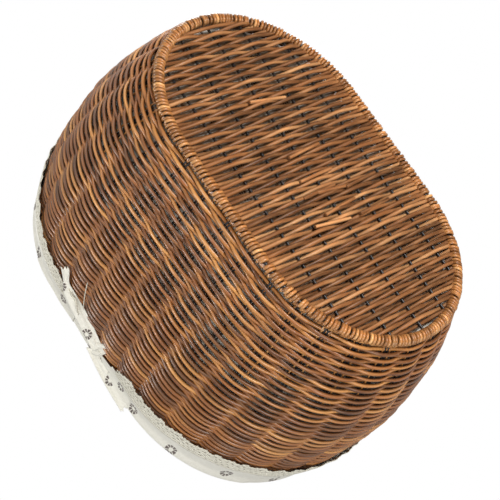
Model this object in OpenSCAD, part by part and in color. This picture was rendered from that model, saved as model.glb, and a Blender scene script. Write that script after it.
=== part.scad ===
// Oval wicker pet bed: a wire frame woven with wicker strands, a cloth liner
// folded over the rim and tied at both long sides, and a loose pad inside.
// Millimetres, +Z up, X along the oval; the origin is under the centre of the base.

/* [Oval] */
// Half-length of the straight sides
straight = 64; // [45:1:80]
// Radius of the base's round ends, to the stakes
base_r = 112; // [95:0.5:125]
// Radius at half height, where the wall bellies out
belly_r = 141.5; // [130:0.5:150]
// Radius of the rim's round ends
rim_r = 127.5; // [120:0.5:135]
// Height from the floor to the top of the rim's wrapping
wall_h = 242; // [200:1:260]

/* [Wire frame] */
// Diameter of one stake wire; every stake is a pair
stake_d = 2.2; // [1.6:0.1:2.6]
// Distance between the two wires of a pair
pair_pitch = 2.8; // [2.7:0.1:4]
// Stakes along each straight side
side_stakes = 4; // [3:1:5]
// Stakes round each end
end_stakes = 12; // [10:1:14]
// Diameter of the wires along the base
base_wire_d = 2.6; // [2:0.1:2.8]
// Wires along the base
base_wires = 5; // [3:2:5]
// Distance between the base wires
base_wire_pitch = 38; // [34:1:40]
// Diameter of the hoops round the base and the rim
hoop_d = 4; // [3:0.1:4.6]

/* [Wicker] */
// Thickness of one strand
strand_d = 3.3; // [2.6:0.1:3.6]
// Width of the wrapping round the hoops
wrap_d = 11; // [10:0.5:12]

/* [Liner] */
// Thickness of the cloth with its seams
cloth_t = 1.5; // [1:0.1:2]
// Gap between the cloth and the wicker
cloth_gap = 0.35; // [0.3:0.05:0.5]
// Depth of the plain skirt below the rim
skirt_depth = 22; // [18:1:26]
// Depth of the lace under the skirt
lace_depth = 16; // [12:1:20]
// Width of the slits at the middle of the long sides
slit_w = 60; // [50:1:66]

/* [Ties] */
// Width of the ribbon
ribbon_w = 12; // [9:1:14]
// Length of the tail that hangs down the wall
hanging_tail = 66; // [50:1:72]
// Length of the tail that stands past the rim
standing_tail = 56; // [44:1:60]
// Size of the knot along the ribbon
knot_d = 17; // [14:1:19]
// Angle of the hanging tail below the ribbon's line
hanging_angle = 28; // [20:1:35]
// Angle of the standing tail above the ribbon's line
standing_angle = 24; // [18:1:30]

/* [Pad] */
// Radius of the pad's round ends
pad_r = 105; // [96:1:106]
// Thickness of the pad
pad_t = 44; // [36:1:50]
// Diameter of the piping round the pad's edges
piping_d = 5; // [4:0.5:6]

/* [Hidden] */
$fn = 64;
fit = 0.05;
// The pad rests a fraction of a millimetre above the liner.
pad_gap = 0.4;
// The base's wrapping is pressed flat where it stands on the floor.
flat_cut = 0.6;
wrap_r = wrap_d / 2;
stake_r = stake_d / 2;
hoop_r = hoop_d / 2;
base_hoop_z = wrap_r - flat_cut;
rim_hoop_z = wall_h - wrap_r;
skin_in = stake_r + fit;
skin_out = stake_r + fit + strand_d;

// The wall's profile is one arc through the base, the belly and the rim.
foot = [base_r, base_hoop_z];
belly = [belly_r, wall_h / 2];
lip = [rim_r, rim_hoop_z];
bow = arc_centre(foot, belly, lip);
bow_r = norm(foot - bow);

// Height of the base wires, with a strand under and a strand over them.
base_under_z = 0.9;
base_wire_z = base_under_z + strand_d + fit + base_wire_d / 2;
base_over_z = base_wire_z + base_wire_d / 2 + fit;
floor_z = base_over_z + strand_d + cloth_gap;
weave_bottom = base_hoop_z + wrap_r + fit;
weave_top = rim_hoop_z - wrap_r - fit;
weave_middle = (weave_bottom + weave_top) / 2;
skirt_z = wall_h - skirt_depth;
lace_z = skirt_z - lace_depth;
pad_z = floor_z + cloth_t + pad_gap;
// The cloth starts to bend over the rim this far under the hoop.
turn_drop = 3.4;
cloth_in = skin_out + cloth_gap;
cloth_out = cloth_in + cloth_t;
knot_z = wall_h - 15;
ribbon_t = 1.2;
ribbon_off = cloth_out + 0.3;
// The wall leans in by this angle where the ties hang.
wall_lean = asin((knot_z - bow.y) / bow_r);
reach = 400;

base_wire_names = [for (i = [1 : base_wires]) str("base_wire_", i)];
side_names = [for (side = ["front", "back"], i = [1 : side_stakes]) str(side, "_stake_", i)];
end_names = [for (side = ["left", "right"], i = [1 : end_stakes]) str(side, "_stake_", i)];
tie_names = [for (side = ["front", "back"], part = ["tie_knot", "hanging_tail", "standing_tail"])
    str(side, "_", part)];

// Centre of the circle through three points.
function arc_centre(a, b, c) =
    let (d = 2 * (a.x * (b.y - c.y) + b.x * (c.y - a.y) + c.x * (a.y - b.y)))
    [(a * a * (b.y - c.y) + b * b * (c.y - a.y) + c * c * (a.y - b.y)) / d,
     (a * a * (c.x - b.x) + b * b * (a.x - c.x) + c * c * (b.x - a.x)) / d];

// Distance of the stake line from the oval's spine, at height z.
function wall_r(z) = bow.x + sqrt(bow_r * bow_r - (z - bow.y) * (z - bow.y));

// Sweeps a profile drawn as [distance from the spine, height] round the oval.
module round_oval() {
    for (turn = [0, 180]) rotate([0, 0, turn]) {
        translate([straight, 0, 0]) rotate([0, 0, -90]) rotate_extrude(angle = 180) children();
        translate([-straight, 0, 0]) rotate([90, 0, 90]) linear_extrude(2 * straight) children();
    }
}

// A flat oval plate of radius r, from z0 to z1.
module oval_plate(r, z0, z1) {
    translate([0, 0, z0]) {
        for (side = [-1, 1]) translate([side * straight, 0, 0]) cylinder(r = r, h = z1 - z0);
        translate([-straight, -r, 0]) cube([2 * straight, 2 * r, z1 - z0]);
    }
}

// Profile of a layer of the wall between two offsets from the stake line.
module wall_layer(inner, outer, z0, z1) {
    intersection() {
        difference() {
            translate(bow) circle(bow_r + outer);
            translate(bow) circle(bow_r + inner);
        }
        translate([0, z0]) square([reach, z1 - z0]);
    }
}

// Profile of the wrapping round a hoop, with the channel for the stakes.
module wrap_profile(hoop, z0, slot_z0, slot_z1) {
    difference() {
        intersection() {
            translate(hoop) circle(wrap_r);
            translate([0, z0]) square([reach, wall_h]);
        }
        translate(hoop) circle(hoop_r + fit);
        wall_layer(-skin_in, skin_in, slot_z0, slot_z1);
    }
}

// Profile of the cloth turned over the rim, on the inner (-1) or outer (1) side.
module turned_cloth(side) {
    intersection() {
        difference() {
            translate(lip) circle(wrap_r + cloth_gap + cloth_t);
            translate(lip) circle(wrap_r + cloth_gap);
        }
        translate([side < 0 ? 0 : lip.x, lip.y - turn_drop]) square([side < 0 ? lip.x : reach, reach]);
    }
}

// Profile of a cloth layer hanging on one side of the wall, clear of the rim's wrapping.
module hanging_cloth(inner, outer, z0, z1) {
    difference() {
        wall_layer(inner, outer, z0, z1);
        translate(lip) circle(wrap_r + cloth_gap);
    }
}

module base_hoop() {
    color("black") round_oval() translate(foot) circle(hoop_r);
}

module base_wrap() {
    color([0.72, 0.52, 0.33]) round_oval() difference() {
        wrap_profile(foot, 0, base_hoop_z, wall_h);
        translate([0, base_wire_z - base_wire_d / 2 - fit]) square([foot.x, base_wire_d + 2 * fit]);
    }
}

module base_wire(index) {
    y = (index - (base_wires + 1) / 2) * base_wire_pitch;
    color("black") intersection() {
        translate([-reach, y, base_wire_z]) rotate([0, 90, 0]) cylinder(d = base_wire_d, h = 2 * reach);
        oval_plate(base_r - hoop_r - fit, 0, wall_h);
    }
}

module base_weave(z) {
    color([0.55, 0.36, 0.2]) oval_plate(base_r - wrap_r - fit, z, z + strand_d);
}

module rim_hoop() {
    color("black") round_oval() translate(lip) circle(hoop_r);
}

module rim_wrap() {
    color([0.5, 0.32, 0.18]) round_oval() wrap_profile(lip, 0, 0, rim_hoop_z);
}

// One stake is a pair of wires bent to the wall's arc, from hoop to hoop.
module stake() {
    low = asin((base_hoop_z + hoop_r + fit - bow.y) / bow_r);
    high = asin((rim_hoop_z - hoop_r - fit - bow.y) / bow_r);
    color("black") for (side = [-1, 1])
        translate([bow.x, side * pair_pitch / 2, bow.y]) rotate([90, 0, 0]) rotate([0, 0, low])
            rotate_extrude(angle = high - low) translate([bow_r, 0]) circle(stake_r);
}

// Side is -1 at the front and 1 at the back; the stakes count from the left.
module side_stake(side, index) {
    spacing = 2 * straight / side_stakes;
    translate([(index - (side_stakes + 1) / 2) * spacing, 0, 0]) rotate([0, 0, side * 90]) stake();
}

// Side is -1 at the left end and 1 at the right end; the stakes count from the front.
module end_stake(side, index) {
    turn = (index - 0.5) * 180 / end_stakes - 90;
    translate([side * straight, 0, 0]) rotate([0, 0, side > 0 ? turn : 180 - turn]) stake();
}

module wall_weave(inner, outer, z0, z1) {
    color([0.6, 0.38, 0.2]) round_oval() wall_layer(inner, outer, z0, z1);
}

module liner_bag() {
    color("beige") {
        oval_plate(wall_r(floor_z) - cloth_in - cloth_t / 2, floor_z, floor_z + cloth_t);
        round_oval() {
            hanging_cloth(-cloth_out, -cloth_in, floor_z, lip.y - turn_drop + fit);
            turned_cloth(-1);
        }
    }
}

// The half of a skirt or lace ring on one side of the slits.
module half_ring(side) {
    intersection() {
        round_oval() children();
        translate([side < 0 ? -reach : slit_w / 2, -reach, 0]) cube([reach - slit_w / 2, 2 * reach, 2 * reach]);
    }
}

module liner_skirt(side) {
    color("beige") half_ring(side) {
        hanging_cloth(cloth_in, cloth_out, skirt_z, lip.y - turn_drop + fit);
        turned_cloth(1);
    }
}

module lace(side) {
    color("ivory") half_ring(side) hanging_cloth(cloth_in, cloth_out, lace_z, skirt_z);
}

// Places ribbon parts on the wall at the knot: X along the side, Y outward, Z up the wall.
module at_tie(side) {
    rotate([0, 0, side < 0 ? 180 : 0])
        translate([0, wall_r(knot_z) + ribbon_off / cos(wall_lean), knot_z]) rotate([wall_lean, 0, 0]) children();
}

// The knot, with the ribbon that closes the slit running through it.
module tie_knot(side) {
    length = slit_w + 2 * ribbon_w;
    color("beige") at_tie(side) {
        intersection() {
            translate([0, knot_d / 3, 0]) sphere(knot_d / 2);
            translate([-knot_d / 2, 0, -ribbon_w / 2]) cube([knot_d, knot_d * 0.7, ribbon_w]);
        }
        translate([-length / 2, 0, -ribbon_w / 2]) cube([length, ribbon_t, ribbon_w]);
    }
}

// A flat tail from the knot, leaving it at an angle above the ribbon's line.
module tail(side, direction, angle, length) {
    color("beige") at_tie(side) difference() {
        translate([0, ribbon_t + 0.2, 0]) mirror([direction < 0 ? 1 : 0, 0, 0]) rotate([0, -angle, 0])
            translate([0, 0, -ribbon_w / 2]) cube([length, ribbon_t, ribbon_w]);
        translate([0, knot_d / 3, 0]) sphere(knot_d / 2);
    }
}

module hanging_tail(side) {
    tail(side, -1, -hanging_angle, hanging_tail);
}

module standing_tail(side) {
    tail(side, 1, standing_angle, standing_tail);
}

module pad_edges() {
    for (z = [piping_d / 2, pad_t - piping_d / 2]) translate([pad_r - piping_d / 2, pad_z + z]) children();
}

module pad() {
    color("beige") {
        round_oval() difference() {
            translate([pad_r / 2, pad_z]) square([pad_r / 2 - piping_d / 2, pad_t]);
            pad_edges() circle(d = piping_d + 2 * fit);
        }
        oval_plate(pad_r / 2, pad_z, pad_z + pad_t);
    }
}

module pad_piping() {
    color("beige") round_oval() pad_edges() circle(d = piping_d);
}

base_hoop();
base_wrap();
base_weave(base_under_z);  // base_weave_lower
base_weave(base_over_z);  // base_weave_upper
rim_hoop();
rim_wrap();
wall_weave(skin_in, skin_out, weave_bottom, weave_middle);  // outer_weave_lower
wall_weave(skin_in, skin_out, weave_middle, weave_top);  // outer_weave_upper
wall_weave(-skin_out, -skin_in, weave_bottom, weave_middle);  // inner_weave_lower
wall_weave(-skin_out, -skin_in, weave_middle, weave_top);  // inner_weave_upper
liner_bag();
liner_skirt(-1);  // liner_skirt_left
liner_skirt(1);  // liner_skirt_right
lace(-1);  // lace_left
lace(1);  // lace_right
pad();
pad_piping();
for (i = [1 : base_wires])
    base_wire(i);
for (i = [1 : side_stakes]) {
    side_stake(-1, i);
    side_stake(1, i);
}
for (i = [1 : end_stakes]) {
    end_stake(-1, i);
    end_stake(1, i);
}
for (side = [-1, 1]) {
    name = side < 0 ? "front" : "back";
    tie_knot(side);
    hanging_tail(side);
    standing_tail(side);
}
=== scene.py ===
# The looks of an oval wicker pet bed, in metres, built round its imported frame.
import math

import bpy
import numpy as np
from mathutils import Matrix, Vector


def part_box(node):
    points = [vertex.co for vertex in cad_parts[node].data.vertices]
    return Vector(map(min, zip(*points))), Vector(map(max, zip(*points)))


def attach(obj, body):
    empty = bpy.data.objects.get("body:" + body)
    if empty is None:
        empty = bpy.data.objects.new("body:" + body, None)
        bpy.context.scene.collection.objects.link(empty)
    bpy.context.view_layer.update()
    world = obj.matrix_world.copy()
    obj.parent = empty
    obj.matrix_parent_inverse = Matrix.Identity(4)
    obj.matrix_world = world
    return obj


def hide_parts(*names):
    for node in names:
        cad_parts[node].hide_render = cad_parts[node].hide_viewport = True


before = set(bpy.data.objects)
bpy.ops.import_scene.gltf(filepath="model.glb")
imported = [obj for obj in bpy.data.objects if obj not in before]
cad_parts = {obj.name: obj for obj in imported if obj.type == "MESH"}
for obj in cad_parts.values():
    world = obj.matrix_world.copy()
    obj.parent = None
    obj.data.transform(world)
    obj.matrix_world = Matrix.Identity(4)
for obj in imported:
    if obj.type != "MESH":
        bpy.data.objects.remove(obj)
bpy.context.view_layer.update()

scene = bpy.context.scene

# ------------------------------------------------------------------ sizes, read from the frame

HOOP_LOW, HOOP_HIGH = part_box("base_hoop")
RIM_LOW, RIM_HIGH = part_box("rim_hoop")
WRAP_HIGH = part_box("base_wrap")[1]
WEAVE_LOW, WEAVE_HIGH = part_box("outer_weave_lower")
WEAVE_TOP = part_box("outer_weave_upper")[1].z
INNER_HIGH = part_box("inner_weave_lower")[1]
UNDER_LOW, UNDER_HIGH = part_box("base_weave_lower")
WIRE_LOW, WIRE_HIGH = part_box("base_wire_1")
BAG_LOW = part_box("liner_bag")[0]
PAD_LOW, PAD_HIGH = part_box("pad")
PIPING_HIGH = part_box("pad_piping")[1]

HOOP_R = (HOOP_HIGH.z - HOOP_LOW.z) / 2
STRAIGHT = HOOP_HIGH.x - HOOP_HIGH.y
BASE_R = HOOP_HIGH.y - HOOP_R
RIM_R = RIM_HIGH.y - HOOP_R
BASE_HOOP_Z = (HOOP_LOW.z + HOOP_HIGH.z) / 2
RIM_HOOP_Z = (RIM_LOW.z + RIM_HIGH.z) / 2
WRAP_R = WRAP_HIGH.y - BASE_R
STRAND_R = (UNDER_HIGH.z - UNDER_LOW.z) / 2
WIRE_R = (WIRE_HIGH.z - WIRE_LOW.z) / 2
WIRE_Z = (WIRE_LOW.z + WIRE_HIGH.z) / 2
BELLY_R = (WEAVE_HIGH.y + INNER_HIGH.y) / 2
SKIN = WEAVE_HIGH.y - BELLY_R
FLOOR_Z = BAG_LOW.z

# How far a strand's middle may stand from the stakes' line and stay inside the CAD's weave.
WEAVE_SWING = SKIN - STRAND_R
CLOTH_GAP = 0.0006


def bow_of_wall():
    """Centre height, centre offset and radius of the wall's arc, through both hoops and the belly."""
    low, high = BELLY_R - BASE_R, BELLY_R - RIM_R
    a = high - low
    b = -2 * (high * BASE_HOOP_Z - low * RIM_HOOP_Z)
    c = high * BASE_HOOP_Z**2 - low * RIM_HOOP_Z**2 + low * high * (low - high)
    roots = [(-b + sign * math.sqrt(b * b - 4 * a * c)) / (2 * a) for sign in (-1, 1)]
    centre_z = next(z for z in roots if BASE_HOOP_Z < z < RIM_HOOP_Z)
    radius = (low**2 + (BASE_HOOP_Z - centre_z) ** 2) / (2 * low)
    return centre_z, BELLY_R - radius, radius


BOW_Z, BOW_OFFSET, BOW_R = bow_of_wall()
SIDE_STAKES = sum(name.startswith("front_stake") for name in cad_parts)
END_STAKES = sum(name.startswith("left_stake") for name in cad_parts)
HALF_ROUND = SIDE_STAKES + END_STAKES
STAKES = 2 * HALF_ROUND
SIDE_STEP = 2 * STRAIGHT / SIDE_STAKES
MID_SIDE = SIDE_STAKES / 2
WIRE_YS = sorted((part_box(name)[0].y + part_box(name)[1].y) / 2
                 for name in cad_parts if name.startswith("base_wire"))
SLIT_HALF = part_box("liner_skirt_right")[0].x

# ------------------------------------------------------------------ the oval and its wall


def spine(turn):
    """Spine position and outward direction at a place round the oval, counted in stakes.

    Stakes stand at half numbers; 0 is the left end of the front side."""
    turn = np.mod(np.asarray(turn, float), STAKES)
    back = turn >= HALF_ROUND
    local = np.where(back, turn - HALF_ROUND, turn)
    along = np.clip(local / SIDE_STAKES, 0, 1) * 2 * STRAIGHT - STRAIGHT
    angle = -math.pi / 2 + np.clip((local - SIDE_STAKES) / END_STAKES, 0, 1) * math.pi
    return np.where(back, -along, along), np.where(back, angle + math.pi, angle)


def on_oval(turn, radius, height):
    """Points round the oval at a distance from the spine."""
    x, angle = spine(turn)
    radius = radius + 0 * x
    return np.stack([x + radius * np.cos(angle), radius * np.sin(angle), height + 0 * x], axis=-1)


def outward(turn, lean=0.0):
    """Directions out of the wall, tipped up by the wall's lean."""
    angle = spine(turn)[1]
    flat = np.cos(lean)
    return np.stack([np.cos(angle) * flat, np.sin(angle) * flat, np.sin(lean) + 0 * angle], axis=-1)


def wall(height, offset=0.0):
    """Distance from the spine, height and lean of the wall's arc at a height, moved out by an offset."""
    lean = np.arcsin((np.asarray(height, float) - BOW_Z) / BOW_R)
    radius = BOW_R + offset
    return BOW_OFFSET + radius * np.cos(lean), BOW_Z + radius * np.sin(lean), lean


def length_round(turn):
    """Length round the rim up to a place, in metres, for cloth patterns."""
    laps, local = np.divmod(np.asarray(turn, float), HALF_ROUND)
    side, end = 2 * STRAIGHT, math.pi * RIM_R
    along_side = np.clip(local / SIDE_STAKES, 0, 1) * side
    along_end = np.clip((local - SIDE_STAKES) / END_STAKES, 0, 1) * end
    return laps * (side + end) + along_side + along_end


class Ripple:
    """A smooth seeded wave field over two coordinates, about -1 to 1."""

    def __init__(self, seed, reach_a, reach_b, waves=7):
        draw = np.random.default_rng(seed)
        self.a = draw.integers(-reach_a, reach_a + 1, waves) * 2 * math.pi / STAKES
        self.b = draw.uniform(-reach_b, reach_b, waves)
        self.phase = draw.uniform(0, 2 * math.pi, waves)

    def __call__(self, a, b):
        total = sum(np.sin(fa * a + fb * b + phase) for fa, fb, phase in zip(self.a, self.b, self.phase))
        return total / math.sqrt(len(self.a))


# ------------------------------------------------------------------ meshes


class Mesh:
    """Collects points, faces and the values that materials read, then becomes one piece."""

    def __init__(self):
        self.points, self.faces, self.values, self.count = [], [], [], 0

    def add(self, points, faces, values):
        """Adds a patch; values are three numbers a point, or one row for the whole patch."""
        points = np.asarray(points, float).reshape(-1, 3)
        self.points.append(points)
        self.faces.append(np.asarray(faces, int) + self.count)
        self.values.append(np.broadcast_to(np.asarray(values, float).reshape(-1, 3), points.shape))
        self.count += len(points)

    def piece(self, name, material, body="basket"):
        """Makes the piece and lets it ride on a body."""
        mesh = bpy.data.meshes.new(name)
        mesh.from_pydata(np.concatenate(self.points), [], np.concatenate(self.faces).tolist())
        held = mesh.attributes.new("held", "FLOAT_VECTOR", "POINT")
        held.data.foreach_set("vector", np.concatenate(self.values).ravel())
        mesh.polygons.foreach_set("use_smooth", [True] * len(mesh.polygons))
        mesh.materials.append(material)
        thing = bpy.data.objects.new(name, mesh)
        scene.collection.objects.link(thing)
        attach(thing, body)
        return thing


def grid_faces(rows, columns, close_rows=False, close_columns=False):
    """Four-sided faces between neighbours of a grid of points."""
    row = np.arange(rows if close_rows else rows - 1)
    column = np.arange(columns if close_columns else columns - 1)
    r, c = (index.ravel() for index in np.meshgrid(row, column, indexing="ij"))
    next_r, next_c = (r + 1) % rows, (c + 1) % columns
    corners = ((r, c), (r, next_c), (next_r, next_c), (next_r, c))
    return np.stack([at_row * columns + at_column for at_row, at_column in corners], axis=1)


def lengths_along(path):
    """Length along a path up to each of its points."""
    return np.concatenate([[0], np.cumsum(np.linalg.norm(np.diff(path, axis=0), axis=1))])


def tube(mesh, path, side_way, thickness, tone, sides=6, closed=False):
    """Adds a strand along a path; side_way points away from the surface that it lies on.

    Materials read the strand's tone, the length along it and how far a point faces out."""
    path = np.asarray(path, float)
    ahead = np.roll(path, -1, 0) - np.roll(path, 1, 0)
    if not closed:
        ahead[0], ahead[-1] = path[1] - path[0], path[-1] - path[-2]
    ahead /= np.linalg.norm(ahead, axis=1, keepdims=True)
    across = np.cross(ahead, side_way)
    across /= np.linalg.norm(across, axis=1, keepdims=True)
    up = np.cross(across, ahead)
    angle = np.arange(sides) * 2 * math.pi / sides
    thickness = np.broadcast_to(thickness, len(path))[:, None, None]
    ring = np.cos(angle)[None, :, None] * across[:, None] + np.sin(angle)[None, :, None] * up[:, None]
    points = path[:, None] + thickness * ring
    along = lengths_along(path)[:, None]
    values = np.stack(np.broadcast_arrays(tone, along, np.sin(angle)[None, :]), axis=-1)
    faces = grid_faces(len(path), sides, close_rows=closed, close_columns=True)
    mesh.add(points, faces, values)
    if not closed:
        for end, order in ((0, range(sides)), (len(path) - 1, range(sides - 1, -1, -1))):
            middle = np.arange(sides)[list(order)]
            fan = [[middle[0], middle[k], middle[k + 1], middle[k + 2 if k + 2 < sides else 0]]
                   for k in range(1, sides - 1, 2)]
            mesh.add(points[end], fan, values[end])


# ------------------------------------------------------------------ shader maths


class Signal:
    """A number that varies over a surface, so that shader maths reads as Python."""

    def __init__(self, finish, socket):
        self.finish, self.socket = finish, socket

    def maths(self, operation, first, second=None):
        """The result of a Math function of one or two values."""
        inputs = {0: first} if second is None else {0: first, 1: second}
        return Signal(self.finish, self.finish.node("Math", {"operation": operation}, inputs).outputs[0])

    def __add__(self, other):
        return self.maths("ADD", self, other)

    def __radd__(self, other):
        return self.maths("ADD", other, self)

    def __sub__(self, other):
        return self.maths("SUBTRACT", self, other)

    def __rsub__(self, other):
        return self.maths("SUBTRACT", other, self)

    def __mul__(self, other):
        return self.maths("MULTIPLY", self, other)

    def __rmul__(self, other):
        return self.maths("MULTIPLY", other, self)

    def __truediv__(self, other):
        return self.maths("DIVIDE", self, other)

    def under(self, function):
        """The result of a Math function of one value, such as SINE."""
        return self.maths(function, self)


class Finish:
    """One material: its shader, and a way to make every node it needs."""

    def __init__(self, name, **uniform):
        self.material = bpy.data.materials.new(name)
        self.material.use_nodes = True
        self.tree = self.material.node_tree
        self.shader = self.tree.nodes["Principled BSDF"]
        for socket, value in uniform.items():
            self.shader.inputs[socket.replace("_", " ")].default_value = value

    def node(self, kind, settings=None, inputs=None):
        """Makes a node of a kind, sets its settings first, then its sockets' values or links."""
        made = self.tree.nodes.new("ShaderNode" + kind)
        for name, value in (settings or {}).items():
            if name == "stops":
                for element, (position, colour) in zip(self.stops(made, len(value)), value):
                    element.position, element.color = position, colour
            else:
                setattr(made, name, value)
        for name, value in (inputs or {}).items():
            self.feed(made.inputs[name], value)
        return made

    @staticmethod
    def stops(made, count):
        """A ramp's stops, with new ones added until there are enough."""
        elements = made.color_ramp.elements
        while len(elements) < count:
            elements.new(1.0)
        return elements

    def feed(self, socket, value):
        """Links a socket to a signal or another socket, or sets its plain value."""
        value = getattr(value, "socket", value)
        if isinstance(value, bpy.types.NodeSocket):
            self.tree.links.new(value, socket)
        else:
            socket.default_value = value

    def value(self, kind, settings=None, inputs=None):
        """The first output of a new node, as a signal."""
        return Signal(self, self.node(kind, settings, inputs).outputs[0])

    def held(self):
        """The three values that each point of a piece holds."""
        vector = self.node("Attribute", {"attribute_name": "held"}).outputs["Vector"]
        parts = self.node("SeparateXYZ", inputs={0: vector}).outputs
        return [Signal(self, part) for part in parts]

    def place(self):
        """Points on the piece, in metres."""
        return self.node("TexCoord").outputs["Object"]

    def vector(self, x=0.0, y=0.0, z=0.0):
        """A vector of three signals or plain numbers."""
        return self.node("CombineXYZ", inputs={0: x, 1: y, 2: z}).outputs[0]

    def noise(self, vector, scale=1.0, detail=2.0):
        """Smooth noise, 0 to 1."""
        return self.value("TexNoise", inputs={"Vector": vector, "Scale": scale, "Detail": detail})

    def scatter(self, vector):
        """One random number, 0 to 1, for each different vector."""
        return self.value("TexWhiteNoise", {"noise_dimensions": "3D"}, {"Vector": vector})

    def ramp(self, factor, stops):
        """A colour along a ramp, from stops of a position and three numbers."""
        return self.node("ValToRGB", {"stops": [(at, (*colour, 1.0)) for at, colour in stops]},
                         {"Fac": factor}).outputs[0]

    def mix(self, factor, first, second):
        """Blends two colours, each a socket or three plain numbers."""
        made = self.node("Mix", {"data_type": "RGBA"})
        self.feed(made.inputs["Factor"], factor)
        for socket, colour in ((made.inputs[6], first), (made.inputs[7], second)):
            self.feed(socket, (*colour, 1.0) if isinstance(colour, tuple) else colour)
        return made.outputs[2]

    def span(self, value, low, high, to_low=0.0, to_high=1.0):
        """Moves a value from one range to another, held at the ends."""
        return self.value("MapRange", inputs={"Value": value, "From Min": low, "From Max": high,
                                              "To Min": to_low, "To Max": to_high})

    def surface(self, colour, roughness, height=None, distance=0.0, strength=0.0):
        """Feeds the shader and returns the material; a height makes a bump."""
        self.feed(self.shader.inputs["Base Color"], colour)
        self.feed(self.shader.inputs["Roughness"], roughness)
        if height is not None:
            bump = self.node("Bump", inputs={"Height": height, "Distance": distance, "Strength": strength})
            self.feed(self.shader.inputs["Normal"], bump.outputs[0])
        return self.material


RED_STAIN = (0.135, 0.048, 0.018)
FLOWER_INK = (0.062, 0.036, 0.032)
# The printed flowers: their distance down the cloth and across it, and a flower's inside and outside.
FLOWER_PITCH, FLOWER_COLUMN = 0.047, 0.026
FLOWER_INSIDE, FLOWER_OUTSIDE = 0.0018, 0.0056
COTTON_THREADS = 1400


def lacquered_wicker(name, deep, middle, bright, wear_and_less_side_shade=0.0):
    """Stained, lacquered wicker: every strand has its own tone, and painted shade darkens it down its
    sides.
    """
    finish = Finish(name, Coat_Weight=0.8, Coat_Roughness=0.14, Specular_IOR_Level=0.5)
    tone, along, facing = finish.held()
    streak = finish.noise(finish.vector(along * 30, facing * 1.1, tone * 90), detail=2)
    cloud = finish.noise(finish.vector(along * 11, tone * 40), detail=2)
    fibre = finish.noise(finish.vector(along * 55, facing * 9, tone * 90), detail=2)
    shade = tone * 0.55 + (cloud - 0.5) * 0.8 + (streak - 0.5) * 0.4 + 0.22
    half_deep = tuple(0.5 * (a + b) for a, b in zip(deep, middle))
    colour = finish.ramp(shade, [(0.06, deep), (0.34, half_deep), (0.55, middle), (0.86, bright)])
    reddish = finish.span(finish.noise(finish.vector(along * 6, tone * 71), detail=1), 0.52, 0.7, 0, 0.5)
    colour = finish.mix(reddish, colour, RED_STAIN)
    colour = finish.mix(finish.span(fibre, 0.4, 0.8, 0.0, 0.3 + wear_and_less_side_shade), colour, bright)
    # Painted shade: each strand is darkened towards its deep colour down its sides, away from its outward
    # face; the last argument lessens this shade and brightens the fibres.
    colour = finish.mix(finish.span(facing, 0.85, -0.25, 0.0, 0.78 - wear_and_less_side_shade), colour, deep)
    rough = 0.30 + fibre * 0.16
    return finish.surface(colour, rough, fibre * 0.6 + streak * 0.4, 0.0002, 0.06)


def black_wire():
    """Glossy black paint on wire, with a thin dusting in places."""
    finish = Finish("black painted wire", Coat_Weight=0.3, Coat_Roughness=0.2)
    dust = finish.noise(finish.place(), 90, 4)
    colour = finish.mix(finish.span(dust, 0.5, 0.8, 0, 0.5), (0.020, 0.018, 0.017), (0.10, 0.072, 0.052))
    grain = finish.noise(finish.place(), 900, 2)
    return finish.surface(colour, 0.26 + dust * 0.25, grain, 0.0001, 0.4)


def weave_height(across, down, threads):
    """Height of a plain weave, 0 to 1, with a thread count per metre."""
    first = (across * threads * math.pi).under("SINE")
    second = (down * threads * math.pi).under("SINE")
    return first * first * 0.5 + second * second * 0.5


def printed_cotton(name="printed cotton", print_strength=1.0):
    """Off-white cotton with small dark ring flowers, a fine weave and slubs."""
    finish = Finish(name, Sheen_Weight=0.15, Specular_IOR_Level=0.25)
    across, down, jitter = finish.held()
    column = across / FLOWER_COLUMN
    cell_a = column.under("FLOOR")
    row = down / FLOWER_PITCH + (cell_a * 0.5).under("FRACT")
    cell_b = row.under("FLOOR")
    shift_a, shift_b = (finish.scatter(finish.vector(cell_a, cell_b, seed)) for seed in (3.1, 8.7))
    local_a = (column.under("FRACT") - 0.5 + (shift_a - 0.5) * 0.24) * FLOWER_COLUMN
    local_b = (row.under("FRACT") - 0.5 + (shift_b - 0.5) * 0.16) * FLOWER_PITCH
    reach = (local_a * local_a + local_b * local_b).under("SQRT")
    angle = local_a.maths("ARCTAN2", local_b, local_a)
    petal = (angle * 4.5 + shift_a * 6).under("SINE").under("ABSOLUTE")
    inside = finish.span(reach, FLOWER_INSIDE, FLOWER_INSIDE + 0.0004)
    ring = inside * finish.span(reach, FLOWER_OUTSIDE, FLOWER_OUTSIDE - 0.0006)
    ink = ring * finish.span(petal, 0.34, 0.52)
    slub = finish.noise(finish.vector(across * 260, down * 1500), detail=2)
    cross_slub = finish.noise(finish.vector(across * 1500, down * 260), detail=2)
    cloud = finish.noise(finish.vector(across * 18, down * 18, jitter), detail=3)
    thread = finish.span(slub * 0.5 + cross_slub * 0.5, 0.35, 0.65)
    cloth = finish.mix(thread, (0.73, 0.705, 0.615), (0.83, 0.81, 0.73))
    cloth = finish.mix(finish.span(cloud, 0.35, 0.7, 0, 0.35), cloth, (0.69, 0.665, 0.58))
    colour = finish.mix(ink * (0.92 * print_strength), cloth, FLOWER_INK)
    height = weave_height(across, down, COTTON_THREADS) * 0.5 + slub * 0.3 + cross_slub * 0.3
    return finish.surface(colour, 0.85 - slub * 0.1, height, 0.0004, 0.55)


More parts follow.
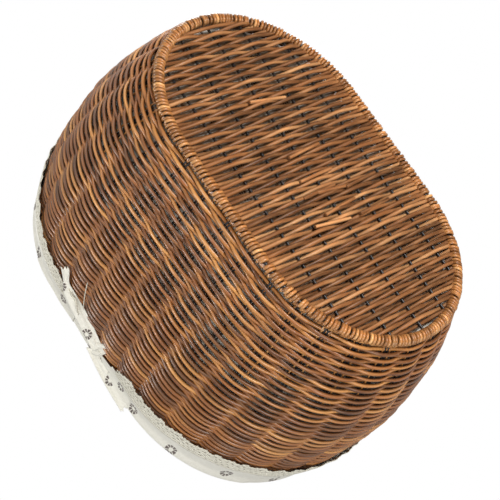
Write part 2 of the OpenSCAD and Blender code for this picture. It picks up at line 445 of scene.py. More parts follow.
def cotton_lace():
    """Cream crocheted cotton: thick looped threads."""
    finish = Finish("cotton lace", Sheen_Weight=0.2, Specular_IOR_Level=0.2)
    across, down, _ = finish.held()
    loops = ((across * 2100).under("SINE") * (down * 2600).under("SINE")).under("ABSOLUTE")
    fuzz = finish.noise(finish.vector(across * 900, down * 900), detail=3)
    thread = loops * 0.6 + fuzz * 0.5
    # Painted shade: the lace is darker where its threads lie low, in the hollows between the loops.
    colour = finish.mix(finish.span(thread, 0.2, 0.8), (0.58, 0.545, 0.43), (0.88, 0.85, 0.73))
    return finish.surface(colour, 0.9 - fuzz * 0.08, thread, 0.0006, 0.8)


def pale_floor():
    """A pale studio floor that only shows from above."""
    finish = Finish("pale floor", Roughness=0.6)
    speck = finish.noise(finish.place(), 60, 3)
    finish.surface(finish.mix(speck, (0.80, 0.80, 0.79), (0.84, 0.84, 0.83)), 0.55 + speck * 0.1)
    below = finish.node("NewGeometry").outputs["Backfacing"]
    clear = finish.node("BsdfTransparent").outputs[0]
    blend = finish.node("MixShader", inputs={0: below, 1: finish.shader.outputs[0], 2: clear})
    finish.tree.links.new(blend.outputs[0], finish.tree.nodes["Material Output"].inputs["Surface"])
    return finish.material


# ------------------------------------------------------------------ camera, lights and floor


def place_camera(azimuth=-18.57, elevation=-44.12, roll=-137.87, distance=1.3057,
                 aim=(-0.0069, -0.0008, 0.1241), lens=99.2):
    """A camera below the tipped basket, turned about its own axis."""
    a, e, turn = (math.radians(angle) for angle in (azimuth, elevation, roll))
    back = Vector((math.sin(a) * math.cos(e), -math.cos(a) * math.cos(e), math.sin(e)))
    level = Vector((0, 0, 1)).cross(back).normalized()
    right = level * math.cos(turn) + back.cross(level) * math.sin(turn)
    camera = bpy.data.objects.new("camera", bpy.data.cameras.new("camera"))
    camera.data.lens = lens
    turned = Matrix((right, back.cross(right), back)).transposed()
    camera.matrix_world = Matrix.Translation(Vector(aim) + back * distance) @ turned.to_4x4()
    scene.collection.objects.link(camera)
    scene.camera = camera
    return back, right, back.cross(right)


MIDDLE = Vector((0, 0, WEAVE_TOP / 2))
LAMP_DISTANCE = 1.3
FLOOR_REACH = 12.0


def soft_lamp(name, place, size, power):
    """A square soft box that faces the middle of the basket."""
    lamp = bpy.data.objects.new(name, bpy.data.lights.new(name, "AREA"))
    lamp.data.size, lamp.data.energy = size, power
    lamp.location = Vector(place)
    lamp.rotation_euler = (Vector(place) - MIDDLE).to_track_quat("Z", "Y").to_euler()
    scene.collection.objects.link(lamp)


def pale_surroundings(strength):
    """White all round to look at, and softer as a light."""
    world = bpy.data.worlds.new("surroundings")
    world.use_nodes = True
    tree = world.node_tree
    tree.nodes["Background"].inputs["Color"].default_value = (1, 1, 1, 1)
    seen = tree.nodes.new("ShaderNodeLightPath").outputs["Is Camera Ray"]
    level = tree.nodes.new("ShaderNodeMapRange")
    level.inputs["To Min"].default_value = strength
    tree.links.new(seen, level.inputs["Value"])
    tree.links.new(level.outputs[0], tree.nodes["Background"].inputs["Strength"])
    scene.world = world


def studio():
    """Pale surroundings, soft lamps below and above, and a floor that shows only from above."""
    back, right, up = place_camera()
    under = (("key under", back * 0.70 + up * 0.55 + right * 0.50, 12.5),
             ("low under", back * 0.80 - up * 0.50 + right * 0.34, 7.5),
             ("left under", back * 0.45 - up * 0.10 - right * 0.90, 5.0))
    for name, way, power in under:
        soft_lamp(name, MIDDLE + way * LAMP_DISTANCE, 0.40, power)
    soft_lamp("key above", (0.5, 0.4, 1.7), 0.6, 26)
    soft_lamp("back above", (0.9, 1.2, 0.5), 0.8, 12)
    pale_surroundings(0.31)
    scene.view_settings.view_transform = "Standard"
    mesh = bpy.data.meshes.new("floor")
    corners = [(x * FLOOR_REACH, y * FLOOR_REACH, 0) for x, y in ((-1, -1), (1, -1), (1, 1), (-1, 1))]
    mesh.from_pydata(corners, [], [(0, 1, 2, 3)])
    mesh.materials.append(pale_floor())
    floor = bpy.data.objects.new("floor", mesh)
    floor.visible_shadow = False
    scene.collection.objects.link(floor)


studio()

# ------------------------------------------------------------------ finishes

WICKER = lacquered_wicker("stained wicker", (0.052, 0.016, 0.0045), (0.33, 0.110, 0.023),
                          (0.70, 0.325, 0.088))
# The base's wicker and the light wicker take less painted shade down their strands' sides, and brighter
# fibres.
BASE_WICKER = lacquered_wicker("base wicker", (0.075, 0.028, 0.011), (0.33, 0.135, 0.045),
                               (0.70, 0.39, 0.17), wear_and_less_side_shade=0.1)
LIGHT_WICKER = lacquered_wicker("light stained wicker", (0.16, 0.060, 0.018), (0.46, 0.20, 0.058),
                                (0.72, 0.41, 0.16), wear_and_less_side_shade=0.1)
WIRE = black_wire()
COTTON = printed_cotton()
PLAIN_COTTON = printed_cotton("plain cotton", 0.0)
LACE = cotton_lace()

for name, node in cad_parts.items():
    if "stake" in name or "wire" in name or "hoop" in name:
        node.data.materials.clear()
        node.data.materials.append(WIRE)

# ------------------------------------------------------------------ woven wall


def swing(turn, parity):
    """How far a strand stands out (1) or in (-1), turning over between the stakes."""
    wave = np.cos(math.pi * (turn - 0.5)) * (1 - 2 * parity)
    return wave * (1.28 - 0.28 * wave * wave)


# Height from row to row, at the base and at the rim.
ROW_BASE, ROW_RIM = 0.00355, 0.0031
WALL_STRAND_R = STRAND_R * 1.14
# Strands spring out past the stakes further than the liner lets them bow in.
OUT_SWING, IN_SWING = WEAVE_SWING + 0.0017, WEAVE_SWING + 0.0001
POINTS_PER_STAKE = 8
WALL_PIECES = 4
ROD_R, ROD_ASIDE = 0.0010, 0.0041
ROD_LOWEST_TOP, ROD_HIGHEST_TOP = 0.03, 0.09


def wall_rows():
    """Heights of the rows, a little closer together towards the rim."""
    heights, z = [], WEAVE_LOW.z + STRAND_R
    while z < WEAVE_TOP - STRAND_R * 0.6:
        heights.append(z)
        share = (z - WEAVE_LOW.z) / (WEAVE_TOP - WEAVE_LOW.z)
        z += (ROW_BASE + (ROW_RIM - ROW_BASE) * share) * math.cos(wall(z)[2])
    return heights


def wall_strand(mesh, draw, row, height, start, stakes, waver):
    """One strand of a row, from stake to stake, with its ends tucked behind a stake."""
    turn = start + np.arange(int(stakes * POINTS_PER_STAKE) + 1) / POINTS_PER_STAKE
    out = swing(turn, row % 2)
    lift = 0.0006 * waver(turn, row * 0.22) + 0.00025 * draw.normal()
    stray = 0.0006 * draw.uniform(-0.3, 1.0) * (out > 0)
    radius, z, lean = wall(height + lift, 0)
    offset = out * np.where(out > 0, OUT_SWING, IN_SWING) + stray * out
    way = outward(turn, lean)
    path = on_oval(turn, radius, z) + way * offset[:, None]
    thickness = WALL_STRAND_R * (1 + 0.06 * draw.normal()) * (1 + 0.04 * np.sin(turn * 2.1 + row))
    tube(mesh, path, way, thickness, draw.uniform())


def woven_wall():
    """Rows of strands that pass over one stake and under the next."""
    draw, waver = np.random.default_rng(41), Ripple(7, 5, 1.2)
    heights = wall_rows()
    bounds = [part * len(heights) // WALL_PIECES for part in range(WALL_PIECES + 1)]
    for part in range(WALL_PIECES):
        mesh = Mesh()
        for row in range(bounds[part], bounds[part + 1]):
            start = 2 * int(draw.integers(0, STAKES // 2)) + 1.5 - row % 2
            left = STAKES
            while left > 0:
                share = min(left, 2 * int(draw.integers(3, 9)))
                wall_strand(mesh, draw, row, heights[row], start, share, waver)
                start, left = start + share, left - share
        piece = mesh.piece(f"wall_weave_{part + 1}", WICKER)
        if part == 0:
            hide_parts("outer_weave_lower", "inner_weave_lower")
        if part == WALL_PIECES - 1:
            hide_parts("outer_weave_upper", "inner_weave_upper")


def side_rods():
    """Short wicker rods beside the wires of the stakes round both ends, pushed up from the base."""
    draw, mesh = np.random.default_rng(5), Mesh()
    for stake in range(STAKES):
        facing_end = abs(math.cos(spine(stake + 0.5)[1])) > 0.2
        for side in (-1, 1) if facing_end else ():
            top = draw.uniform(ROD_LOWEST_TOP, ROD_HIGHEST_TOP)
            z = np.linspace(WEAVE_LOW.z - 0.002, top, 12)
            radius, height, lean = wall(z)
            turn = stake + 0.5 + side * (ROD_ASIDE / SIDE_STEP) + 0 * z
            path = on_oval(turn, radius, height)
            tube(mesh, path, outward(turn, lean), ROD_R, draw.uniform(0.2, 0.9))
    mesh.piece("stake_rods", LIGHT_WICKER)


# ------------------------------------------------------------------ woven base


BASE_PITCH = 0.0040
# The base's strands are this much thicker than the CAD's layers.
BASE_STRAND = 1.2
STRAY_STRANDS, STRAY_LENGTH = 9, 0.045
WRAP_PITCH = 0.0036


def base_half_width(x):
    """Half the base's width between the hoops, at a place along the oval."""
    inside = BASE_R - 0.001
    return np.sqrt(np.maximum(inside**2 - max(abs(x) - STRAIGHT, 0) ** 2, 0))


def woven_base():
    """Strands across the base, over one wire and under the next, ending inside the hoop."""
    draw, waver = np.random.default_rng(19), Ripple(23, 4, 1.0)
    mesh = Mesh()
    count = int(2 * (STRAIGHT + BASE_R - 0.0065) / BASE_PITCH)
    swing_z = WIRE_R + STRAND_R * BASE_STRAND + 0.0001
    for index in range(count):
        x = (index - (count - 1) / 2) * BASE_PITCH
        width = base_half_width(x)
        wires = [(y, sign) for k, y in enumerate(WIRE_YS) for sign in [1 - 2 * ((index + k) % 2)]
                 if abs(y) < width - 0.006]
        marks = np.array([-width] + [y for y, _ in wires] + [width])
        levels = np.array([0.0] + [sign for _, sign in wires] + [0.0])
        last = len(marks) - 1
        y = np.linspace(-width, width, max(12, int(2 * width / 0.0042)))
        place = np.interp(y, marks, np.arange(last + 1))
        step = np.clip(place - np.floor(place), 0, 1)
        ease = np.where(place >= last, 1.0, step * step * (3 - 2 * step))
        before = np.floor(np.minimum(place, last - 1e-9)).astype(int)
        level = levels[before] * (1 - ease) + levels[before + 1] * ease
        z = WIRE_Z + level * swing_z
        sway = 0.0005 * waver(y * 60, index * 0.3) + draw.normal() * 0.0002
        path = np.stack([x + sway + 0 * y, y, np.maximum(z, STRAND_R + 0.0002)], axis=1)
        thickness = STRAND_R * (BASE_STRAND + 0.06 * draw.normal())
        tube(mesh, path, (0, 0, -1), thickness, draw.uniform(), sides=7)
    for _ in range(STRAY_STRANDS):
        x, y = draw.uniform(-0.9, 0.9) * (STRAIGHT + 0.03), draw.uniform(-0.6, 0.3) * BASE_R
        step = np.linspace(0, 1, 14)
        drift = draw.choice([-1, 1]) * draw.uniform(0.002, 0.005)
        rise = STRAND_R + 0.0012 * step * step
        path = np.stack([x + drift * step, y + STRAY_LENGTH * step, rise], axis=1)
        tube(mesh, path, (0, 0, -1), STRAND_R * 1.1, draw.uniform(), sides=7)
    piece = mesh.piece("base_weave", BASE_WICKER)
    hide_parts("base_weave_lower", "base_weave_upper")


def wrapped_hoop(name, node, hoop_radius, hoop_z, seed, material, lowest):
    """Turn after turn of strand round a hoop, each slanting a little and a little out of place."""
    draw, mesh = np.random.default_rng(seed), Mesh()
    round_length = 4 * STRAIGHT + 2 * math.pi * hoop_radius
    turns = int(round_length / WRAP_PITCH)
    to_turn = turn_at_length(hoop_radius)
    ring = WRAP_R - STRAND_R
    for index in range(turns):
        lap = np.linspace(0, 2 * math.pi, 15)
        start = (index + 0.15 * draw.normal()) * WRAP_PITCH
        place = to_turn(start + WRAP_PITCH * 1.05 * lap / (2 * math.pi))
        way = outward(place)
        swell = ring * (1 + 0.05 * draw.normal())
        path = on_oval(place, hoop_radius, hoop_z) + way * (np.cos(lap) * swell)[:, None]
        path[:, 2] = np.maximum(hoop_z + np.sin(lap) * swell, lowest)
        side = way * np.cos(lap)[:, None] + np.array([0, 0, 1.0]) * np.sin(lap)[:, None]
        tube(mesh, path, side, STRAND_R * draw.uniform(0.93, 1.12), draw.uniform())
    piece = mesh.piece(name, material)
    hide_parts(node)


def turn_at_length(radius):
    """Makes the function that turns a length along the oval at a radius into a place round it."""
    side, end = 2 * STRAIGHT, math.pi * radius
    stops = np.cumsum([0, side, end, side, end])
    marks = np.cumsum([0, SIDE_STAKES, END_STAKES, SIDE_STAKES, END_STAKES])
    total = stops[-1]

    def turn_at(length):
        """The place, in stakes, for a length along the oval."""
        return np.floor(length / total) * STAKES + np.interp(np.mod(length, total), stops, marks)

    return turn_at


woven_wall()
side_rods()
woven_base()
wrapped_hoop("base_wrapping", "base_wrap", BASE_R, BASE_HOOP_Z, 3, LIGHT_WICKER, STRAND_R)
wrapped_hoop("rim_wrapping", "rim_wrap", RIM_R, RIM_HOOP_Z, 4, WICKER, 0)

# ------------------------------------------------------------------ liner and lace

CLOTH_T, RIBBON_T = 0.0008, 0.0007
CLOTH_COLUMNS = STAKES * 14
# The liner's inner wall stands this far from the stakes' line, and turns into its floor on a small curve.
INNER_OFFSET = -(SKIN + CLOTH_GAP + CLOTH_T)
FLOOR_CURVE = 0.010
# How far the liner's sheet stands from the rim hoop's middle where it passes over it.
LAP = WRAP_R + CLOTH_GAP + CLOTH_T / 2
# The cloth passes over the hoop in this many rings, and the slit begins at one of them.
LAP_RINGS, SLIT_FROM = 14, 9
# Places round the rim between which the cloth's bulk changes.
GATHERS = 26
# Depth of the skirt below the rim's hoop on the long sides and round the ends, and of the lace below it.
SKIRT_SIDE, SKIRT_END = 0.0165, 0.0330
SKIRT_GAP, SKIRT_ROWS, SKIRT_ROW = 0.0032, 9, 0.0022
# The print's pattern on the liner starts this far down the cloth.
PRINT_SHIFT = 0.0045
LACE_DEPTH, LACE_ROWS, LACE_STEP = 0.016, 12, 0.0010
SCALLOP, SCALLOP_PITCH, PICOT = 0.0014, 0.0085, 0.0012
# The lace comes loose over this length at each of its ends.
LOOSE_LACE = 0.014
FOLDS, SWELL = Ripple(61, 26, 30, waves=10), Ripple(62, 9, 20)


def thicken(piece, thickness=CLOTH_T):
    """Gives a cloth piece its thickness, centred on the sheet."""
    solid = piece.modifiers.new("cloth", "SOLIDIFY")
    solid.thickness, solid.offset = thickness, 0


def skirt_depth(turn):
    """The skirt's depth below the rim's hoop: short on the long sides, deeper round the ends."""
    facing_end = np.abs(np.cos(spine(turn)[1]))
    return SKIRT_SIDE + (SKIRT_END - SKIRT_SIDE) * facing_end**0.8


def skirt_offset(turn, depth, hem):
    """How far the skirt stands from the stakes' line: it lies close and springs a little at the hem."""
    spring = 0.0004 + 0.0006 * np.abs(FOLDS(turn, 3.0)) + 0.0007 * np.abs(SWELL(turn, 9.0))
    return SKIN + SKIRT_GAP + depth / hem * spring


def liner_wall(turn):
    """Heights up the liner's inner wall from its floor, and a creased ring of points at each."""
    curve = FLOOR_CURVE * (1 - np.cos(np.linspace(0, 1, 5) * math.pi / 2))
    heights = np.concatenate([FLOOR_Z + CLOTH_T + curve,
                              np.linspace(FLOOR_Z + 0.016, RIM_HOOP_Z - 0.006, 34)])
    rings = []
    for height in heights:
        radius, z, _ = wall(height, INNER_OFFSET)
        corner = 0
        if height < FLOOR_Z + FLOOR_CURVE + 0.001:
            left = max(0.0, 1 - (height - FLOOR_Z - CLOTH_T) / FLOOR_CURVE)
            corner = FLOOR_CURVE * (1 - math.sin(math.acos(left)))
        rise = min(1.0, (height - FLOOR_Z) / 0.03) * min(1.0, (RIM_HOOP_Z - height) / 0.05)
        crease = 0.0030 * rise * np.maximum(FOLDS(turn, height * 6) + 0.15, 0)
        crease = crease + 0.0016 * rise * (1 + SWELL(turn, height * 14)) / 2
        rings.append(on_oval(turn, radius - corner - crease, z))
    return heights, rings


def liner_skirt(turn, rings, down):
    """Adds the rings over the rim and down outside, and the cloth's length down to each."""
    draw = np.random.default_rng(77)
    places = np.sort(draw.uniform(0, STAKES, GATHERS))
    bulk = np.interp(turn, places, draw.uniform(-0.06, 0.30, GATHERS), period=STAKES)
    lap = LAP * (1.12 + bulk + 0.02 * FOLDS(turn, 2.0))
    over = np.radians(np.linspace(168, 12, LAP_RINGS))
    for angle in over:
        rings.append(on_oval(turn, RIM_R + lap * math.cos(angle), RIM_HOOP_Z + lap * math.sin(angle)))
        down.append(down[-1] + LAP * (over[0] - over[1]))
    hem = skirt_depth(turn)
    for share in np.linspace(0.1, 1, SKIRT_ROWS):
        depth = hem * share
        radius = wall(RIM_HOOP_Z - depth, skirt_offset(turn, depth, hem))[0]
        blend = min(1.0, share * 2.2)
        radius = radius * blend + (1 - blend) * (RIM_R + lap)
        rings.append(on_oval(turn, radius, RIM_HOOP_Z - depth))
        down.append(down[-1] + SKIRT_ROW)


def cloth_floor(mesh, turn, edge):
    """Adds the liner's floor, a little creased towards its edge."""
    spread = np.linspace(0.02, 1, 22)
    floor = []
    for share in spread:
        crease = 0.0006 * np.maximum(FOLDS(turn, share * 9), 0) * share
        floor.append(on_oval(turn, edge * share, FLOOR_Z + CLOTH_T * 0.6 + crease))
    floor = np.array(floor)
    values = np.stack([floor[..., 0] + 1, floor[..., 1] + 1, floor[..., 2]], axis=-1)
    mesh.add(floor, grid_faces(len(spread), CLOTH_COLUMNS, close_columns=True), values)


def liner():
    """One cloth: the floor, the inner wall, over the rim and down outside, slit at both long sides."""
    turn = np.arange(CLOTH_COLUMNS) * STAKES / CLOTH_COLUMNS
    heights, rings = liner_wall(turn)
    down = list(heights)
    liner_skirt(turn, rings, down)
    mesh = Mesh()
    across, down = length_round(turn)[None, :], np.asarray(down)[:, None] + PRINT_SHIFT
    values = np.stack(np.broadcast_arrays(across, down, 0.5), axis=-1)
    faces = grid_faces(len(rings), CLOTH_COLUMNS, close_columns=True)
    slit = np.abs(np.mod(turn, HALF_ROUND) - MID_SIDE) * SIDE_STEP < SLIT_HALF
    row, column = faces[:, 0] // CLOTH_COLUMNS, faces[:, 0] % CLOTH_COLUMNS
    keep = ~(slit[column] & (row >= len(heights) + SLIT_FROM))
    mesh.add(np.array(rings), faces[keep], values)
    cloth_floor(mesh, turn, wall(heights[0], INNER_OFFSET)[0] - FLOOR_CURVE)
    piece = mesh.piece("liner", COTTON)
    thicken(piece)
    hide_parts("liner_bag", "liner_skirt_left", "liner_skirt_right")


def lace_edge(name, node, start):
    """A strip of lace round one half of the hem, with eyelets, scallops and frayed ends."""
    draw = np.random.default_rng(len(name) + int(start))
    first = start + 0.9 * SLIT_HALF / SIDE_STEP
    last = start + HALF_ROUND - 1.25 * SLIT_HALF / SIDE_STEP
    length = length_round(last) - length_round(first)
    columns = int(length / LACE_STEP)
    turn = np.linspace(first, last, columns)
    across = np.linspace(0, length, columns)
    share = np.linspace(0, 1, LACE_ROWS + 1)[:, None]
    scallop = SCALLOP * np.abs(np.sin(math.pi * across / SCALLOP_PITCH))
    scallop = scallop + 0.0006 * draw.uniform(-1, 1, columns)
    picot = PICOT * (np.arange(columns) % 4 == 1)
    loose_end = np.clip(1 - np.minimum(across, length - across) / LOOSE_LACE, 0, 1)
    hem = skirt_depth(turn)
    depth = hem - 0.0012 + share * (LACE_DEPTH + scallop + picot - 0.004 * loose_end)
    frill = 0.0007 * np.sin(across * 420 + 2 * FOLDS(turn, 5)) * share + 0.0009 * share * SWELL(turn, 12)
    offset = skirt_offset(turn, hem, hem) + 0.0009 + frill + 0.0035 * loose_end * share
    radius, z, _ = wall(RIM_HOOP_Z - depth, offset - CLOTH_T)
    points = on_oval(turn[None, :] + 0 * share, radius, z)
    faces = grid_faces(LACE_ROWS + 1, columns)
    row, column = faces[:, 0] // columns, faces[:, 0] % columns
    eyelet = (column % 5 < 3) & np.isin(row, (2, 8)) | (column % 5 > 2) & (row == 5)
    fray = (loose_end[column] > 0.72) & (draw.uniform(size=len(faces)) < 0.35)
    values = np.stack(np.broadcast_arrays(across[None, :], share * LACE_DEPTH, 0.5), axis=-1)
    mesh = Mesh()
    mesh.add(points, faces[~eyelet & ~fray], values)
    piece = mesh.piece(name, LACE)
    thicken(piece, RIBBON_T)
    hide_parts(node)


# ------------------------------------------------------------------ ties


def by_knot(points, back):
    """Places points given as distance along the side, off the weave and below the rim's hoop."""
    along, off, drop = np.asarray(points, float).T
    turn = MID_SIDE + along / SIDE_STEP + (HALF_ROUND if back else 0)
    radius, z, lean = wall(RIM_HOOP_Z - np.maximum(drop, 0), SKIN + off)
    return on_oval(turn, radius, z + np.maximum(-drop, 0)), outward(turn, lean)


def smooth_path(points, count):
    """A smooth curve of evenly spread points through a few given ones."""
    points = np.asarray(points, float)
    fine = np.linspace(0, len(points) - 1, count)
    padded = np.concatenate([2 * points[:1] - points[1:2], points, 2 * points[-1:] - points[-2:-1]])
    at = np.minimum(fine.astype(int), len(points) - 2)
    t = (fine - at)[:, None]
    p0, p1, p2, p3 = (padded[at + step] for step in range(4))
    bend = 2 * p0 - 5 * p1 + 4 * p2 - p3
    change = 3 * p1 - p0 - 3 * p2 + p3
    return 0.5 * (2 * p1 + (p2 - p0) * t + bend * t**2 + change * t**3)


def ribbon(mesh, path, out, width, crease, seed, frayed=0.0):
    """Adds a creased cloth ribbon along a path, with its face turned out."""
    draw = np.random.default_rng(seed)
    count, columns = len(path), 11
    ahead = np.gradient(path, axis=0)
    ahead /= np.linalg.norm(ahead, axis=1, keepdims=True)
    across = np.cross(ahead, out)
    across /= np.linalg.norm(across, axis=1, keepdims=True)
    face = np.cross(across, ahead)
    place = np.linspace(-1, 1, columns)[None, :]
    share = np.linspace(0, 1, count)[:, None]
    aside = place * np.broadcast_to(width, count)[:, None] / 2
    fold = np.cos(place * 5.1 + 2.4 * share) * 0.6 + np.cos(place * 8.3 - 1.7 * share) * 0.4
    lift = np.broadcast_to(crease, count)[:, None] * fold
    points = path[:, None] + across[:, None] * aside[..., None] + face[:, None] * lift[..., None]
    points[-1] += ahead[-1] * (frayed * draw.uniform(-1, 1, columns))[:, None]
    along = lengths_along(path)[:, None]
    values = np.stack(np.broadcast_arrays(along + seed * 0.37, aside + seed * 0.11, 0.5), axis=-1)
    mesh.add(points, grid_faces(count, columns), values)


def cloth_piece(mesh, name, node):
    """Finishes a ribbon piece: its thickness and what it stands for."""
    piece = mesh.piece(name, COTTON)
    thicken(piece, RIBBON_T)
    if node:
        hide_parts(node)


def strip(mesh, route, back, widths, crease, seed, turned=0.0, frayed=0.0):
    """Adds a ribbon along a route by the knot, with widths spread evenly along it."""
    path, out = by_knot(smooth_path(route, len(widths)), back)
    ribbon(mesh, path, out + turned, widths, crease, seed, frayed)


# Routes by the knot: each point is a distance along the side, off the weave and below the rim's hoop.
BANDS = {"left": ((-0.038, 0.003, 0.005), (-0.002, 0.004, 0.006)),
         "right": ((0.038, 0.003, 0.008), (0.002, 0.004, 0.006))}
STRAPS = (((-0.012, -0.001, -0.003), (0.000, 0.005, 0.009), (0.010, -0.002, 0.022)),
          ((0.013, -0.001, -0.006), (-0.002, 0.007, 0.008), (-0.015, -0.001, 0.022)))
LOW_TAIL = ((-0.008, 0.005, 0.015), (0.020, 0.005, 0.024), (0.050, 0.005, 0.031), (0.065, 0.005, 0.050))
HIGH_TAIL = ((0.000, 0.005, 0.008), (-0.030, 0.006, 0.000), (-0.066, 0.007, -0.002))
THREAD = ((0.028, 0.002, 0.030), (0.031, 0.006, 0.052), (0.035, 0.009, 0.074))
# Added to the way out of the wall, this turns the tails' faces down towards the base.
TURNED_DOWN = np.array([0, 0, -0.9])
THREAD_R = 0.0004
BAND_POINTS, STRAP_POINTS, LOW_POINTS, HIGH_POINTS, THREAD_POINTS = 24, 24, 48, 40, 30


def tie(side):
    """The ribbon that draws a slit together: two bands, a knot and two tails."""
    back = side == "back"
    share = np.linspace(0, 1, BAND_POINTS)
    for number, (name, route) in enumerate(BANDS.items()):
        mesh = Mesh()
        strip(mesh, route, back, 0.0205 - 0.0055 * share, 0.0004 + 0.0009 * share, seed=3 + number)
        cloth_piece(mesh, f"{side}_band_{name}", None)
    mesh = Mesh()
    widths = 0.0130 - 0.0105 * np.linspace(-1, 1, STRAP_POINTS) ** 4
    for number, route in enumerate(STRAPS):
        strip(mesh, route, back, widths, 0.0012, seed=11 + number)
    cloth_piece(mesh, f"{side}_knot", f"{side}_tie_knot")
    mesh = Mesh()
    share = np.linspace(0, 1, LOW_POINTS)
    widths = 0.0105 + 0.0020 * np.sin(share * 4.4) - 0.0030 * np.exp(-((share - 0.80) / 0.1) ** 2)
    strip(mesh, LOW_TAIL, back, widths, 0.0011 - 0.0002 * share, seed=21, turned=TURNED_DOWN, frayed=0.0018)
    cloth_piece(mesh, f"{side}_low_tail", f"{side}_hanging_tail")
    mesh = Mesh()
    widths = 0.0122 - 0.0022 * np.linspace(0, 1, HIGH_POINTS)
    strip(mesh, HIGH_TAIL, back, widths, 0.0011, seed=31, turned=TURNED_DOWN, frayed=0.0016)
    cloth_piece(mesh, f"{side}_high_tail", f"{side}_standing_tail")


def loose_thread():
    """One thread pulled out near the lace's end, beside the front knot."""
    mesh = Mesh()
    path, out = by_knot(smooth_path(THREAD, THREAD_POINTS), False)
    tube(mesh, path, out, THREAD_R, 0.5)
    mesh.piece("loose_thread", LACE)


# ------------------------------------------------------------------ pad


# The piping's radius, and how far its middle lies in from the CAD piping's side and from the pad's faces.
PIPING_R, PIPING_IN, PIPING_UP = 0.0021, 0.0048, 0.0028
COVER_LOW = PAD_LOW.z + 0.0005
COVER_VOXEL, COVER_PRESSURE, COVER_FRAMES = 0.0055, 4.0, 20
COVER_REACH, PAD_FILL = 0.012, 0.7


def pad_section():
    """The pad cover's section, from the middle of the bottom round to the middle of the top."""
    radius, low, high = PAD_HIGH.y - 0.004, PAD_LOW.z + 0.003, PAD_HIGH.z - 0.004
    flat = np.linspace(0.05, 0.97, 16)
    side = np.linspace(0, 1, 9)
    bulge = 0.003 * np.sin(side * math.pi)
    return np.concatenate([np.stack([radius * flat, low + 0 * flat], axis=1),
                           np.stack([radius + bulge, low + (high - low) * side], axis=1),
                           np.stack([radius * flat[::-1], high + 0 * flat], axis=1)])


def blow_up(piece, limit):
    """Fills a cover with cloth simulation, holding its seams, and caps how far a point may move."""
    remesh = piece.modifiers.new("even cloth", "REMESH")
    remesh.mode, remesh.voxel_size = "VOXEL", COVER_VOXEL
    apply_modifiers(piece)
    start = points_of(piece.data)
    by_edge = (start[:, 2] < PAD_LOW.z + 0.008) | (start[:, 2] > PAD_HIGH.z - 0.009)
    seam = (reach_of(start) > PAD_HIGH.y - 0.011) & by_edge
    group = piece.vertex_groups.new(name="seams")
    group.add([int(index) for index in np.nonzero(seam)[0]], 1.0, "REPLACE")
    cloth = piece.modifiers.new("cover", "CLOTH")
    settings = cloth.settings
    settings.use_pressure, settings.uniform_pressure_force = True, COVER_PRESSURE
    settings.effector_weights.gravity = 0
    settings.vertex_group_mass = "seams"
    settings.quality = 5
    for number in range(1, COVER_FRAMES + 1):
        scene.frame_set(number)
    apply_modifiers(piece)
    scene.frame_set(1)
    move = points_of(piece.data) - start
    size = np.linalg.norm(move, axis=1, keepdims=True)
    move *= np.minimum(1, limit / np.maximum(size, 1e-9))
    result = start + move
    result[:, 2] = np.clip(result[:, 2], COVER_LOW, None)
    piece.data.vertices.foreach_set("co", result.ravel())


def points_of(mesh):
    """A mesh's points, one row each."""
    points = np.empty(len(mesh.vertices) * 3)
    mesh.vertices.foreach_get("co", points)
    return points.reshape(-1, 3)


def reach_of(points):
    """Distance of points from the oval's spine, seen from above."""
    spine_x = np.clip(points[:, 0], -STRAIGHT, STRAIGHT)
    return np.hypot(points[:, 0] - spine_x, points[:, 1])


def apply_modifiers(piece):
    """Turns a piece's modifiers into its mesh."""
    shown = piece.evaluated_get(bpy.context.evaluated_depsgraph_get())
    mesh = bpy.data.meshes.new_from_object(shown)
    piece.modifiers.clear()
    piece.data = mesh


def pad_shell():
    """The closed cover before it is filled."""
    section = pad_section()
    columns = STAKES * 6
    turn = np.arange(columns) * STAKES / columns
    mesh = Mesh()
    mesh.add(np.array([on_oval(turn, radius, z) for radius, z in section]),
             grid_faces(len(section), columns, close_columns=True), (0, 0, 0))
    lid = grid_faces(2, columns, close_columns=True)
    for (radius, z), faces in ((section[0], lid[:, ::-1]), (section[-1], lid)):
        mesh.add(np.concatenate([on_oval(turn, radius, z), on_oval(turn, 0.0, z)]), faces, (0, 0, 0))
    return mesh.piece("pad_cover", COTTON, body="pad")


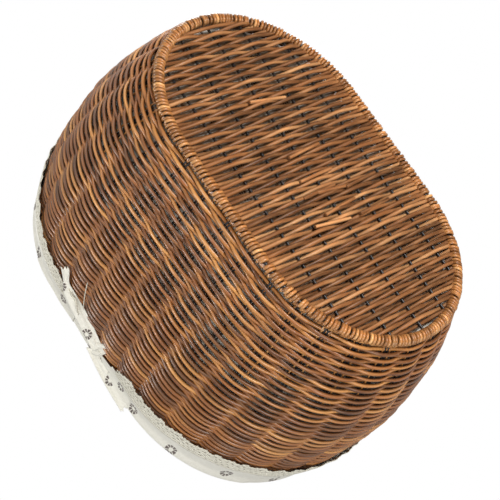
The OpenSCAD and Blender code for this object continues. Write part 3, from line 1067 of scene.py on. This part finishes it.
def pucker(piece):
    """Adds small puckers along the seams and shallow dimples, then the values that the cloth reads."""
    shape = points_of(piece.data)
    normals = np.array([vertex.normal for vertex in piece.data.vertices])
    angle = np.arctan2(shape[:, 1], shape[:, 0])
    turn = angle / (2 * math.pi) * STAKES
    reach = reach_of(shape) / PAD_HIGH.y
    folds = 0.0010 * FOLDS(turn * 2, reach * 40) * np.clip((reach - 0.55) / 0.3, 0, 1)
    dimples = 0.0016 * SWELL(turn, reach * 160) * np.clip(reach / 0.4, 0.3, 1)
    shape = shape - normals * np.maximum(folds + dimples, -0.0004)[:, None]
    shape[:, 2] = np.maximum(shape[:, 2], COVER_LOW)
    piece.data.vertices.foreach_set("co", shape.ravel())
    flat = np.stack([shape[:, 0] + 1, shape[:, 1] + 1, shape[:, 2]], axis=1)
    upright = np.stack([angle * 0.14 + 2, shape[:, 2], shape[:, 2]], axis=1)
    values = np.where(np.abs(normals[:, 2:]) > 0.55, flat, upright)
    if "held" not in piece.data.attributes:
        piece.data.attributes.new("held", "FLOAT_VECTOR", "POINT")
    piece.data.attributes["held"].data.foreach_set("vector", values.ravel())


def pad():
    """A stuffed pad with a crowned top, and piping sewn round both edges."""
    piece = pad_shell()
    blow_up(piece, COVER_REACH)
    pucker(piece)
    piece.data.polygons.foreach_set("use_smooth", [True] * len(piece.data.polygons))
    if not piece.data.materials:
        piece.data.materials.append(COTTON)
    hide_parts("pad")
    mesh = Mesh()
    turn = np.arange(STAKES * 8) / 8
    for height in (PAD_LOW.z + PIPING_UP, PAD_HIGH.z - PIPING_UP):
        path = on_oval(turn, PIPING_HIGH.y - PIPING_IN, height) + 0.0004 * SWELL(turn, 1.0)[:, None]
        tube(mesh, path, (0, 0, 1), PIPING_R, 0.3, sides=10, closed=True)
    piping = mesh.piece("piping", PLAIN_COTTON, body="pad")
    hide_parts("pad_piping")


liner()
lace_edge("lace_trim_right", "lace_right", MID_SIDE)
lace_edge("lace_trim_left", "lace_left", MID_SIDE + HALF_ROUND)
tie("front")
tie("back")
loose_thread()
pad()
